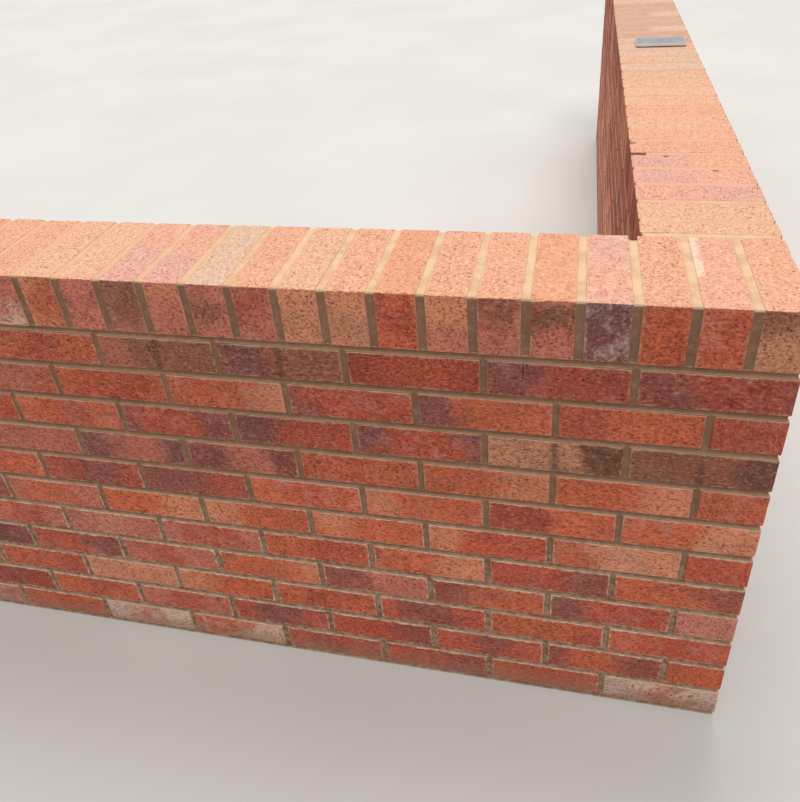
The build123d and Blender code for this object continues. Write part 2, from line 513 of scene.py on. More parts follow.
SHADES = {
    "orange": srgb(204, 103, 70),
    "red": srgb(190, 88, 64),
    "deep": srgb(168, 76, 60),
    "salmon": srgb(220, 144, 112),
    "rose": srgb(197, 114, 94),
    "tan": srgb(220, 142, 106),
    "buff": srgb(202, 138, 104),
    "plum": srgb(144, 80, 74),
    "purple": srgb(127, 82, 82),
    "brown": srgb(150, 94, 72),
    "dark": srgb(112, 74, 60),
    "scorched": srgb(104, 68, 44),
    "pale": srgb(222, 184, 164),
    "blush": srgb(208, 132, 114),
}
# Shades of tops: paler than the faces, in part bleached and in part painted light from above.
WEATHERED_AND_LIT = {
    "salmon": srgb(242, 180, 148),
    "peach": srgb(243, 190, 158),
    "pink": srgb(241, 179, 155),
    "lilac": srgb(233, 176, 160),
    "beige": srgb(230, 195, 168),
    "orange": srgb(240, 170, 134),
    "dusty": srgb(214, 174, 150),
}
COMMON_BODIES = ["orange", "orange", "red", "red", "deep", "rose", "salmon", "tan"]
COMMON_FLASHES = ["orange", "red", "deep", "plum", "plum", "purple", "salmon", "tan"]
print("shades:", len(SHADES), "and", len(WEATHERED_AND_LIT), "on weathered tops")

# %% [markdown]
# ## Which brick went where
# The bricks near the quoin set the look of the wall, so a few words per course say which they
# are, from the quoin on. The first name is the body and the second is its patch. The mark says
# where the patch is as one looks at the face: < left, > right, | middle and = both ends. A !
# adds the dark print of a brick that leaned on it in the kiln, and a * adds a pale bloom. Bricks
# without words take theirs by a seeded draw, the same each run.

# %% The order of bricks on the front face
FRONT_FACE = {
    11: "deep-plum< deep-plum< deep-red| brown-purple<! brown-rose<! orange-red| red-orange>",
    10: "red-deep| orange-red< orange-plum< red-plum< orange-salmon> orange-red| orange-rose|",
    9: "brown-dark>! buff-scorched>! red-purple= red-purple< red-plum= orange-red| red-plum<",
    8: "orange-red| orange-salmon> orange-tan> orange-red| rose-plum= rose-purple= rose-purple<",
    7: "orange-tan> orange-deep< orange-tan< orange-red| plum-red> plum-red= orange-red|",
    6: "red-orange| tan-orange< red-tan< orange-tan< orange-tan< orange-tan> rose-orange|",
    5: "orange-plum> red-plum> orange-tan> orange-red| rose-red| rose-salmon| rose-red|",
    4: "blush-rose| red-plum< orange-plum< rose-plum< orange-tan> rose-red| red-plum> plum-dark|",
    3: "red-orange< orange-red> red-plum| orange-red| orange-tan< salmon-tan| orange-red>",
    2: "orange-red| orange-plum= red-plum| red-plum> red-plum| rose-red| orange-red|",
    1: "pale-rose|* orange-red| red-plum> red-deep| orange-pale>* pale-rose|* orange-red| rose-pale|*",
}
SIDE_OF = {"<": 1.0, ">": -1.0, "|": 0.0, "=": 0.0}
MARKS = "<>|="
# Lowest and highest values that are drawn for a brick
NAMED_STRENGTH = (0.7, 0.95)
DRAWN_STRENGTH = (0.3, 0.8)
LIGHTNESS = (0.92, 1.04)
PATCH_OUT = (0.7, 1.0)
PATCH_SHIFT = (-0.12, 0.12)
END_PATCH = (0.55, 0.7)
HALF_PATCH = (0.3, 0.65)
MARKED = (0.7, 1.0)
FAINT_BLOOM = (0.0, 0.25)
NOISE_SHIFT = (0, 40)
FACE_REACH = 0.1


def firing(rng, word, tops=("salmon", "salmon"), reach=FACE_REACH, deepen=1.0):
    """The attributes of one brick. `reach` is how far its face runs from the middle."""
    if word is None:
        word = f"{rng.choice(COMMON_BODIES)}-{rng.choice(COMMON_FLASHES)}{rng.choice(MARKS)}"
        strength = rng.uniform(*DRAWN_STRENGTH)
    else:
        strength = rng.uniform(*NAMED_STRENGTH)
    body, patch = word.rstrip("!*").rstrip(MARKS).split("-")
    mark = next(letter for letter in word if letter in MARKS)
    lighten = rng.uniform(*LIGHTNESS) * deepen
    centre = reach * (SIDE_OF[mark] * rng.uniform(*PATCH_OUT) + rng.uniform(*PATCH_SHIFT))
    half_width = reach * (-rng.uniform(*END_PATCH) if mark == "=" else rng.uniform(*HALF_PATCH))
    leaned = rng.uniform(*MARKED) if "!" in word else 0.0
    bloom = rng.uniform(*(MARKED if "*" in word else FAINT_BLOOM))
    return {
        "clay": [[c * lighten for c in SHADES[body]]],
        "flash": [[c * lighten for c in SHADES[patch]]],
        "weathered": [WEATHERED_AND_LIT[tops[0]]],
        "weathered_far": [WEATHERED_AND_LIT[tops[1]]],
        "flash_place": [(centre, half_width, strength)],
        "brick_lot": [(rng.uniform(*NOISE_SHIFT), leaned, bloom)],
    }


print("bricks placed by name:", sum(len(words.split()) for words in FRONT_FACE.values()))

# %% [markdown]
# ## The finish of the fired clay
# The finish is built from noise in each brick's own coordinates, shifted by its own number, so
# no pattern runs on into the next brick. From large to small it has the kiln patch, cloudy
# shading, drag marks from the cutting wire, sand, and dark pits where grains fell out; the dark of
# the pits, flecks and drag marks is painted shade in their hollows. Faces that look up are
# bleached by sun and rain and are also painted lighter as painted light from above, so the finish
# reads which way the face looks.

# %% Helpers for node trees
class Nodes:
    """A small hand for building the nodes of one material or world."""

    def __init__(self, owner):
        owner.use_nodes = True
        owner.node_tree.nodes.clear()
        self.owner = owner
        self.tree = owner.node_tree

    def add(self, kind, inputs=None, **settings):
        node = self.tree.nodes.new(kind)
        for key, value in settings.items():
            setattr(node, key, value)
        for key, value in (inputs or {}).items():
            self.join(value, node.inputs[key])
        return node

    def join(self, value, socket):
        if isinstance(value, bpy.types.NodeSocket):
            self.tree.links.new(value, socket)
        else:
            socket.default_value = value

    def math(self, operation, a, b=0.0):
        return self.add("ShaderNodeMath", {0: a, 1: b}, operation=operation).outputs[0]

    def plus(self, a, b):
        return self.math("ADD", a, b)

    def minus(self, a, b):
        return self.math("SUBTRACT", a, b)

    def times(self, a, b):
        return self.math("MULTIPLY", a, b)

    def most(self, a, b):
        return self.math("MAXIMUM", a, b)

    def size(self, a):
        return self.math("ABSOLUTE", a)

    def swayed(self, value, noise_value, amount):
        """Shift a value by a noise, up to half of `amount` to either side."""
        return self.plus(value, self.times(self.minus(noise_value, 0.5), amount))

    def vector(self, operation, a, b):
        return self.add("ShaderNodeVectorMath", {0: a, 1: b}, operation=operation).outputs[0]

    def split(self, vector):
        return self.add("ShaderNodeSeparateXYZ", {0: vector}).outputs

    def place(self):
        """Where the point is on the wall, in metres."""
        return self.add("ShaderNodeTexCoord").outputs["Object"]

    def upness(self):
        """1 where the surface looks up, 0 where it is upright, -1 where it looks down."""
        return self.split(self.add("ShaderNodeNewGeometry").outputs["True Normal"])[2]

    def fit(self, value, low, high, to_low=0.0, to_high=1.0):
        """Map low..high to to_low..to_high with soft ends."""
        inputs = {"Value": value, "From Min": low, "From Max": high, "To Min": to_low, "To Max": to_high}
        return self.add("ShaderNodeMapRange", inputs, interpolation_type="SMOOTHSTEP").outputs["Result"]

    def fit_grey(self, *mapping):
        """The same map as a grey colour, for multiplying."""
        level = self.fit(*mapping)
        return self.add("ShaderNodeCombineColor", {0: level, 1: level, 2: level}).outputs[0]

    def blend(self, factor, a, b, mode="MIX"):
        node = self.add("ShaderNodeMix", data_type="RGBA", blend_type=mode)
        for value, socket in ((factor, "Factor"), (a, 6), (b, 7)):
            self.join(value, node.inputs[socket])
        return node.outputs[2]

    def shade(self, colour, *mapping):
        """Darken or lighten a colour by a value mapped as in `fit`."""
        return self.blend(1.0, colour, self.fit_grey(*mapping), "MULTIPLY")

    def attribute(self, name, output):
        return self.add("ShaderNodeAttribute", attribute_name=name).outputs[output]

    def grain(self, where, size, detail, rough):
        inputs = {"Vector": where, "Scale": 1 / size, "Detail": detail, "Roughness": rough}
        return self.add("ShaderNodeTexNoise", inputs).outputs["Fac"]

    def cells(self, where, spacing):
        """Voronoi cells: how far each point is from its cell's middle, and the cell's colour."""
        found = self.add("ShaderNodeTexVoronoi", {"Vector": where, "Scale": 1 / spacing}).outputs
        return found["Distance"], self.add("ShaderNodeSeparateColor", {0: found["Color"]}).outputs

    def bump(self, height, distance, strength=1.0, normal=None):
        inputs = {"Height": height, "Distance": distance, "Strength": strength}
        if normal is not None:
            inputs["Normal"] = normal
        return self.add("ShaderNodeBump", inputs).outputs["Normal"]

    def surface(self, colour, roughness, normal, specular):
        shader = self.add("ShaderNodeBsdfPrincipled", {"Base Color": colour, "Roughness": roughness})
        shader.inputs["Specular IOR Level"].default_value = specular
        if normal is not None:
            self.join(normal, shader.inputs["Normal"])
        self.add("ShaderNodeOutputMaterial", {"Surface": shader.outputs[0]})
        return self.owner


print("node helpers:", ", ".join(name for name in vars(Nodes) if not name.startswith("_")))

# %% [markdown]
# ## The patch of the second shade
# Where the kiln's fire reached a brick, its shade changes over a few centimetres and with a
# ragged border. A distance from the middle of the patch, shaken by two noises, gives that.

# %% The patch of the second shade
PATCH_EDGE = 30 * MM
PATCH_RAGGED = 50 * MM
PATCH_CLOUDY = 160 * MM


def kiln_patch(n, local, cloudy, ragged):
    """How much of the second shade shows at a point.

    flash_place holds the patch's centre, half width and strength. With a negative half width
    the patch shows at both ends.
    """
    centre, half_width, strength = n.split(n.attribute("flash_place", "Vector"))
    away = n.minus(n.size(n.minus(local[0], centre)), n.size(half_width))
    away = n.times(away, n.math("SIGN", half_width))
    away = n.swayed(away, ragged, PATCH_RAGGED)
    away = n.swayed(away, cloudy, PATCH_CLOUDY)
    return n.times(n.fit(away, -PATCH_EDGE, PATCH_EDGE, 1.0, 0.0), strength)


print("a patch fades over", 2 * PATCH_EDGE / MM, "mm")


# %% [markdown]
# ## Pits and drag marks
# Sand grains leave small holes when they fall out, and the wire that cut the clay drags fine
# lines across it. A Voronoi texture gives one hole to a cell at most, so holes never run
# together, and a noise stretched along the wire's path gives the lines.

# %% Pits and drag marks
# Spacing of the pits, how many of the places have one, its radius and its strength
PITS = (
    (4.8 * MM, 0.6, 1.5 * MM, 1.0),
    (2.6 * MM, 0.6, 0.95 * MM, 0.95),
    (13 * MM, 0.2, 1.9 * MM, 1.0),
)
LEAST_PIT = 0.3
PIT_RIM = (-0.16, 0.1)
WOBBLE_SIZE = 2.4 * MM
WOBBLE_REACH = 4.2 * MM


def pits_in(n, where, spacing, chance, radius, strength):
    """Small holes left by sand grains: above 0 inside a hole."""
    distance, cell = n.cells(where, spacing)
    chosen = n.math("LESS_THAN", cell[0], chance)
    size = n.fit(cell[1], 0.0, 1.0, LEAST_PIT * radius / spacing, radius / spacing)
    hole = n.fit(n.minus(distance, size), *PIT_RIM, 1.0, 0.0)
    return n.times(n.times(hole, chosen), n.fit(cell[2], 0.0, 1.0, LEAST_PIT * strength, strength))


def all_pits(n, own, stretch):
    """Pits of every kind, shaken a little so that none of them is round."""
    wobble = n.add("ShaderNodeTexNoise", {"Vector": own, "Scale": 1 / WOBBLE_SIZE, "Detail": 2.0})
    wobble = n.vector("SUBTRACT", wobble.outputs["Color"], (0.5, 0.5, 0.5))
    scaled = {0: wobble, "Scale": WOBBLE_REACH}
    wobble = n.add("ShaderNodeVectorMath", scaled, operation="SCALE").outputs[0]
    bent = {"Vector": n.vector("ADD", own, wobble), "Scale": stretch}
    bent = n.add("ShaderNodeMapping", bent).outputs[0]
    first, *others = [pits_in(n, bent, *pit) for pit in PITS]
    for pits in others:
        first = n.most(first, pits)
    return first


def drag_marks(n, own, drawn):
    """Thin lines that the cutting wire drew, in some places only."""
    lines = n.size(n.minus(n.grain(drawn, 8 * MM, 2.0, 0.6), 0.5))
    lines = n.fit(lines, 0.0, 0.06, 1.0, 0.0)
    return n.times(lines, n.fit(n.grain(own, 9 * MM, 3.0, 0.6), 0.45, 0.66))


print("kinds of pits:", len(PITS))

# %% [markdown]
# ## Lime, chips and soil on the clay
# A laid brick picks up more: smears of mortar beside its joints, a crust of lime low on the
# wall, a streak where the trowel slipped, and splashed soil at the foot. Each is a soft edge in
# a distance or a height, made ragged by the same noise as the brick, so that all of them follow
# the clay's own grain. A broken chip is painted dark there, as painted shade in its hollow.

# %% Lime, chips and soil
LEAN_SHADE = srgb(92, 66, 54)
# Painted shade in the hollow of a chip.
CHIP_HOLLOW_PAINTED_SHADE = srgb(104, 64, 48)
LIME_SHADE = srgb(244, 222, 196)
CRUST_SHADE = srgb(232, 202, 180)
SOIL_SHADE = srgb(158, 126, 104)
# How much a stain covers, its shade on a face and its shade on a top. A top's shade is paler in
# part from bleaching and in part as painted light; the pit and fleck shades are painted shade in
# small hollows.
STAINS = {
    "grit": (0.36, srgb(226, 160, 122), srgb(255, 226, 196)),
    "fleck": (0.68, srgb(92, 36, 26), srgb(208, 126, 90)),
    "pit": (0.9, srgb(62, 30, 24), srgb(150, 78, 54)),
    "bloom": (0.65, srgb(222, 204, 194), srgb(248, 214, 186)),
    "smear": (1.0, srgb(190, 152, 124), srgb(240, 204, 168)),
}
NEAR_GROUND = (0.15, 0.6)
SMEAR_WANDER = 20 * MM
SMEAR_EDGE = (-1 * MM, 3.5 * MM)
WIDER_LOW_DOWN = 1.6 * MM
LIP_EDGE = (0.3 * MM, 1.4 * MM)
CRUST_UP_TO = (0.25, 0.7)
CRUST_WANDER = 12 * MM
CRUST_EDGE = (0.2 * MM, 2 * MM)
SOIL_UP_TO = (0.05, 0.13)
SOIL_CLOUDY, SOIL_RAGGED = 60 * MM, 40 * MM


def stained(n, colour, name, amount, facing_up):
    cover, on_face, on_top = STAINS[name]
    return n.blend(n.times(amount, cover), colour, n.blend(facing_up, on_face, on_top))


def laid_in_mortar(n, colour, facing_up, cloudy, ragged):
    """Add to the clay what came on it when it was laid and afterwards."""
    stain = n.attribute("limed", "Fac")
    # Below nought the chip's hollow is painted dark, as painted shade.
    colour = n.blend(n.fit(stain, -0.75, -0.25, 0.85, 0.0), colour, CHIP_HOLLOW_PAINTED_SHADE)
    limed = n.plus(stain, n.minus(ragged, 0.5))
    colour = n.blend(n.fit(limed, 0.3, 0.75, 0.0, 0.75), colour, LIME_SHADE)

    to_joint = n.attribute("to_joint", "Fac")
    high = n.split(n.place())[2]
    smear = n.swayed(to_joint, ragged, SMEAR_WANDER)
    smear = n.minus(smear, n.fit(high, *NEAR_GROUND, WIDER_LOW_DOWN, 0.0))
    smear = n.fit(smear, *SMEAR_EDGE, 0.62, 0.0)
    smear = n.most(smear, n.fit(to_joint, *LIP_EDGE, 0.9, 0.0))
    colour = stained(n, colour, "smear", smear, facing_up)
    crust = n.fit(n.swayed(to_joint, ragged, CRUST_WANDER), *CRUST_EDGE, 0.8, 0.0)
    crust = n.times(crust, n.fit(high, *CRUST_UP_TO, 1.0, 0.0))
    colour = n.blend(crust, colour, CRUST_SHADE)

    soil = n.plus(high, n.times(cloudy, SOIL_CLOUDY))
    soil = n.plus(soil, n.times(ragged, SOIL_RAGGED))
    return n.blend(n.fit(soil, *SOIL_UP_TO, 0.55, 0.0), colour, SOIL_SHADE)


print("stains:", ", ".join(STAINS))

# %% [markdown]
# ## All of it together
# The order matters: the kiln's shades come first, then weather and the painted light on tops, then
# what the clay's own surface does, and dirt and mortar last, on top of everything. The same noises
# that colour the clay also raise or sink it, so a dark pit is a real hollow to the light, and its
# dark is painted shade as well.

# %% The fired clay
GRAINS = {
    "cloudy": (60 * MM, 3.0, 0.55),
    "ragged": (14 * MM, 4.0, 0.65),
    "sand": (1.2 * MM, 2.0, 0.7),
    "fine": (4.2 * MM, 3.0, 0.6),
    "bloom": (35 * MM, 8.0, 0.8),
}
TOP_TURNS = 35 * MM
TOP_RAGGED = 250 * MM
LEAN_WANDER = 12 * MM
LEAN_EDGE = (6 * MM, 17 * MM)


def weathered_top(n, local, cloudy, ragged):
    """The pale shade of a top, bleached in part and painted lighter as painted light in part, which may
    change from its near end to its far end.
    """
    far = n.swayed(local[2], cloudy, TOP_RAGGED)
    near, beyond = n.attribute("weathered", "Color"), n.attribute("weathered_far", "Color")
    top = n.blend(n.fit(far, -TOP_TURNS, TOP_TURNS), near, beyond)
    return n.shade(top, ragged, 0.3, 0.7, 0.95, 1.03)


def fired_clay(name, top_bleach_and_light, stretch):
    """The finish of one kind of brick. `stretch` draws its grain out across the drag marks."""
    n = Nodes(bpy.data.materials.new(name))
    at = n.attribute("brick_at", "Vector")
    shift, leaning, blooming = n.split(n.attribute("brick_lot", "Vector"))
    own = n.vector("ADD", at, n.add("ShaderNodeCombineXYZ", {0: shift, 1: shift, 2: shift}).outputs[0])
    local = n.split(at)
    drawn = n.add("ShaderNodeMapping", {"Vector": own, "Scale": stretch}).outputs[0]
    cloudy, ragged, sand = (n.grain(own, *GRAINS[kind]) for kind in ("cloudy", "ragged", "sand"))
    fine = n.grain(drawn, *GRAINS["fine"])
    # How much a face looks up, times how much bleaching and painted light its top takes.
    facing_up = n.times(n.fit(n.upness(), 0.2, 0.75), top_bleach_and_light)

    patch = kiln_patch(n, local, cloudy, ragged)
    colour = n.blend(patch, n.attribute("clay", "Color"), n.attribute("flash", "Color"))
    leaned = n.plus(n.size(local[0]), n.times(ragged, LEAN_WANDER))
    leaned = n.times(n.fit(leaned, *LEAN_EDGE, 0.75, 0.0), leaning)
    colour = n.blend(leaned, colour, LEAN_SHADE)
    colour = n.shade(colour, cloudy, 0.3, 0.72, 0.88, 1.1)
    # Faces that look up take the pale top shade: bleached in part, painted light in part.
    colour = n.blend(facing_up, colour, weathered_top(n, local, cloudy, ragged))

    pits = all_pits(n, own, stretch)
    drags = drag_marks(n, own, drawn)
    grit = n.fit(fine, 0.32, 0.46, 1.0, 0.0)
    flecks = n.most(n.fit(fine, 0.5, 0.68), drags)
    bloom = n.times(n.fit(n.grain(own, *GRAINS["bloom"]), 0.45, 0.67), blooming)
    colour = n.shade(colour, sand, 0.28, 0.72, 0.84, 1.15)
    # The pit and fleck stains are painted shade in small hollows; on tops each stain takes its paler
    # shade, painted light in part.
    for stain, amount in (("grit", grit), ("fleck", flecks), ("pit", pits), ("bloom", bloom)):
        colour = stained(n, colour, stain, amount, facing_up)
    colour = laid_in_mortar(n, colour, facing_up, cloudy, ragged)

    height = n.minus(n.times(sand, 0.35), pits)
    height = n.minus(height, n.times(fine, 2.2))
    height = n.minus(height, n.times(drags, 0.4))
    broad = n.bump(ragged, 2 * MM, 0.35, n.bump(height, 1.3 * MM))
    return n.surface(colour, n.fit(cloudy, 0.3, 0.7, 0.82, 0.95), broad, 0.25)


face_clay = fired_clay("fired_clay_face", 0.3, (0.6, 1.0, 1.0))
coping_clay = fired_clay("fired_clay_coping", 1.0, (1.0, 0.7, 1.0))
print("brick finishes:", face_clay.name, coping_clay.name)

# %% [markdown]
# ## The finish of the mortar
# Mortar is sand held by cement: small grains of light and dark on a buff ground. In the hollow of
# the joints it is painted brown, in part as painted shade, and darker still where it looks down, as
# painted shade; on top of the wall it is painted cream, in part because the rain has washed it and
# in part as painted light, and it is lighter where it looks up, as painted light. Some of the joints
# on top have taken the bricks' colour as a skin, more of them further along.

# %% The mortar
LIT_WASHED_DEPTH = 7 * MM
SPECK_SPACING = 2.4 * MM
SPECK_CHANCE = 0.2
SKIN_TURNS_DUSTY = (0.7, 1.3)


def lit_washed_mortar(n, at, patchy):
    """The cream of the mortar on top of the wall: washed by rain in part, painted light in part."""
    lit_washed = n.fit(n.grain(at, 50 * MM, 3.0, 0.6), 0.42, 0.6)
    lit_washed = n.blend(lit_washed, srgb(243, 205, 166), srgb(230, 186, 148))
    skin = n.plus(n.attribute("limed", "Fac"), n.minus(patchy, 0.5))
    further = n.fit(n.split(at)[1], *SKIN_TURNS_DUSTY)
    skin_shade = n.blend(further, srgb(240, 184, 152), srgb(222, 182, 154))
    return n.blend(n.fit(skin, 0.3, 0.8), lit_washed, skin_shade)


def sandy_mortar():
    n = Nodes(bpy.data.materials.new("sandy_mortar"))
    at = n.place()
    high = n.split(at)[2]
    up = n.upness()
    patchy = n.grain(at, 12 * MM, 4.0, 0.65)
    sand = n.grain(at, 1.2 * MM, 2.0, 0.8)
    broad = n.fit(n.grain(at, 70 * MM, 4.0, 0.6), 0.35, 0.68)
    # Brown of the upright mortar, darkened in part as painted shade of the hollow.
    colour = n.blend(broad, srgb(130, 94, 72), srgb(143, 107, 83))
    limy = n.times(n.fit(high, *NEAR_GROUND, 0.6, 0.0), n.fit(patchy, 0.4, 0.6))
    # In order: paler patches; painted shade where the mortar looks down; painted light where it looks
    # up; lime low on the wall.
    for cover, shade in (
        (n.fit(patchy, 0.45, 0.8, 0.0, 0.7), srgb(166, 134, 108)),
        (n.fit(up, -0.5, 0.0, 0.5, 0.0), srgb(96, 70, 54)),
        (n.fit(up, 0.1, 0.75, 0.0, 0.55), srgb(206, 168, 134)),
        (limy, srgb(186, 160, 136)),
    ):
        colour = n.blend(cover, colour, shade)
    near_top = n.fit(high, COPING_HIGH - LIT_WASHED_DEPTH, COPING_HIGH - LIT_WASHED_DEPTH / 2)
    near_top = n.times(near_top, n.fit(up, 0.0, 0.3, 0.3, 1.0))
    on_top = n.most(n.fit(up, 0.7, 0.97), near_top)
    # Tops take the cream shade: washed by rain in part, painted light in part.
    colour = n.blend(n.times(on_top, 0.95), colour, lit_washed_mortar(n, at, patchy))
    below, above = (n.fit_grey(sand, 0.28, 0.72, *ends) for ends in ((0.72, 1.2), (0.9, 1.06)))
    colour = n.blend(1.0, colour, n.blend(on_top, below, above), "MULTIPLY")

    distance, cell = n.cells(at, SPECK_SPACING)
    specks = n.math("GREATER_THAN", cell[0], 1 - SPECK_CHANCE)
    specks = n.times(specks, n.fit(distance, 0.1, 0.35, 1.0, 0.0))
    specks = n.times(specks, n.fit(on_top, 0.0, 1.0, 0.45, 0.15))
    colour = n.blend(specks, colour, srgb(92, 74, 58))
    height = n.plus(n.times(sand, 0.7), n.times(patchy, 0.5))
    return n.surface(colour, 0.95, n.bump(height, 1.8 * MM, 0.8), 0.2)


mortar = sandy_mortar()
print("mortar finish:", mortar.name)

# %% [markdown]
# ## Where each brick lies
# In stretcher bond every course is set half a brick along from the one below. At the quoin the
# arms run through by turns: one course shows a long brick on the front, the next a short one.
# A brick laid across the wall closes every second course at the stopped end.

# %% The bond
LEAST_PIECE = 2 * MM


def runs_through(arm, course):
    return (course % 2 == 1) == (arm == "front")


def split_at_perpends(start, end, phase):
    """Cut a run into bricks where the bond has its upright joints."""
    count = math.ceil((end - LEAST_PIECE - phase) / PITCH)
    joints = [phase + k * PITCH for k in range(count) if phase + k * PITCH > start + LEAST_PIECE]
    starts = [start] + [joint + PERPEND for joint in joints]
    return list(zip(starts, joints + [end])), joints


def leaf_runs(arm, course):
    """For each leaf: its bricks and the joints between them. The closer is kept apart."""
    length = ARM_LENGTH[arm]
    behind_leaf = BRICK_WIDTH + PERPEND
    if runs_through(arm, course):
        outer = split_at_perpends(0.0, length, BRICK_LENGTH)
        inner = split_at_perpends(behind_leaf, length, BRICK_LENGTH)
        return outer, inner, None
    closer = length - BRICK_WIDTH
    outer_bricks, outer_joints = split_at_perpends(behind_leaf, closer - PERPEND, BRICK_WIDTH)
    inner_bricks, inner_joints = split_at_perpends(THICKNESS + PERPEND, closer - PERPEND, BRICK_WIDTH)
    outer = (outer_bricks, [BRICK_WIDTH] + outer_joints)
    inner = (inner_bricks, [THICKNESS] + inner_joints)
    return outer, inner, closer


for course in (1, 2):
    print("bricks on the front of course", course, ":", len(leaf_runs("front", course)[0][0]))

# %% [markdown]
# ## Lay the courses
# Each brick is a little shorter or taller than the next, and no two stand exactly in line. Those
# small slips are what makes a wall look laid and not printed. They stay under two millimetres,
# and the mortar laps the bricks by as much, so no gap opens.

# %% Lay one brick
SLIP = 0.7 * MM
SHORTER, LOWER, SET_BACK = 2, 1.4, 1.2
SEEDS = 900
FACE_PITCH = {"outer": 14 * MM, "inner": 25 * MM}
BLOCK_PITCH = 16 * MM
READING = {"front": 1.0, "side": -1.0}


def nearest_joint(points, size, sides):
    """Distance of each point to the nearest side that has mortar against it."""
    distances = [points[:, axis] if end == 0 else size[axis] - points[:, axis] for axis, end in sides]
    return np.min(distances, axis=0)[:, None]


def lay_face_brick(bag, leaf, span, low, rng, word, deepen, crack):
    length = span[1] - span[0] - rng.uniform(0, SHORTER) * SLIP
    height = BRICK_HEIGHT - rng.uniform(0, LOWER) * SLIP
    points, faces = face_brick(length, height, BRICK_WIDTH, rng.uniform(0, SEEDS), FACE_PITCH[leaf],
                               crack)
    tilt = rng.uniform(-1, 1) * SLIP / length
    along = span[0] + rng.uniform(0, 1) * SLIP + points[:, 0]
    back = points[:, 1] + rng.uniform(0, SET_BACK) * SLIP
    up = low + points[:, 2] + tilt * (points[:, 0] - length / 2)
    across = back if leaf == "outer" else THICKNESS - back
    reading = READING[bag.arm] * (1 if leaf == "outer" else -1)
    local = np.stack([reading * (points[:, 0] - length / 2), points[:, 1],
                      points[:, 2] - height / 2], axis=1)
    joint = nearest_joint(points, (length, 0, height), ((0, 0), (0, 1), (2, 0), (2, 1)))
    bag.put(along, across, up, faces, leaf == "outer",
            brick_at=local, to_joint=joint, **firing(rng, word, deepen=deepen))


def lay_block_brick(bag, along, across, low, size, rng, joints, word=None, deepen=1.0):
    """Lay a brick that shows more than one side. `joints` lists the sides with mortar."""
    points, faces = block_brick(size, BLOCK_PITCH, rng.uniform(0, SEEDS))
    local = points - np.array(size) / 2
    if size[1] > size[0]:
        local = local[:, [1, 0, 2]]
    local = local * (READING[bag.arm], 1, 1)
    bag.put(along + points[:, 0], across + points[:, 1], low + points[:, 2], faces,
            brick_at=local, to_joint=nearest_joint(points, size, joints),
            **firing(rng, word, deepen=deepen))


print("bricks slip by up to", round(SHORTER * SLIP / MM, 1), "mm")

# %% [markdown]
# ## Course by course
# The first and last brick of a run show an end as well, so they are whole blocks, and so is the
# closing brick. The upper courses are a little darker and the lower ones a little lighter.

# %% Lay each course
CRACKED_BRICK = ("front", "outer", COURSES, 1)
CRACK_AT = 159 * MM
UPPER_COURSES = 4
UPPER_DEEPEN = 0.95
LOWER_LIGHTEN = 1.1


def lay_course(arm, course):
    """The bricks of one course as one mesh."""
    rng = random.Random(f"{arm} course {course}")
    bag = Bag(arm)
    low = COURSE_LOW[course - 1]
    words = FRONT_FACE[course].split()
    if arm == "side":
        words = words[:1] if runs_through(arm, course) else []
    elif not runs_through(arm, course):
        words = words[1:]
    outer, inner, closer = leaf_runs(arm, course)
    length = ARM_LENGTH[arm]
    deepen = UPPER_DEEPEN if course > COURSES - UPPER_COURSES else LOWER_LIGHTEN
    for leaf, (bricks, _) in (("outer", outer), ("inner", inner)):
        for number, span in enumerate(bricks):
            word = words[number] if leaf == "outer" and number < len(words) else None
            at_end = span[1] > length - MM
            at_quoin = leaf == "outer" and span[0] < MM
            if at_end or at_quoin:
                across = 0.0 if leaf == "outer" else THICKNESS - BRICK_WIDTH
                size = (span[1] - span[0], BRICK_WIDTH, BRICK_HEIGHT)
                joints = ((0, 0) if at_end else (0, 1), (2, 0), (2, 1))
                lay_block_brick(bag, span[0], across, low, size, rng, joints, word, deepen)
            else:
                cracked = (arm, leaf, course, number) == CRACKED_BRICK
                lay_face_brick(bag, leaf, span, low, rng, word, deepen,
                               CRACK_AT if cracked else None)
    if closer:
        size = (BRICK_WIDTH, THICKNESS, BRICK_HEIGHT)
        lay_block_brick(bag, closer, 0.0, low, size, rng, ((0, 0), (2, 0), (2, 1)))
    node = f"{arm}_course_{course:02d}"
    bag.dress(f"{node}_bricks", face_clay, node)
    return outer[1], inner[1], closer


bond = {}
for arm in ARMS:
    for course in range(1, COURSES + 1):
        bond[arm, course] = lay_course(arm, course)
so_far("courses")

# %% [markdown]
# ## Fill the upright joints
# Every upright joint is a short pressed block set between two bricks. The ones before the
# closing bricks go right through the wall. The joint between the two leaves only shows at the
# stopped end, but it fills the wall from end to end.

# %% Upright joints
JOINT_SPACING = {"outer": 9 * MM, "inner": 20 * MM}
THROUGH_SPACING = 12 * MM
COLLAR_SPACING = 60 * MM
SEED_STEP = 1.7


def put_upright(bag, block, along, across, low):
    """Set a pressed block on end: its run goes up and its width lies along the arm."""
    points, faces = block
    bag.put(along + points[:, 2], across + points[:, 1], low + points[:, 0], faces, True)


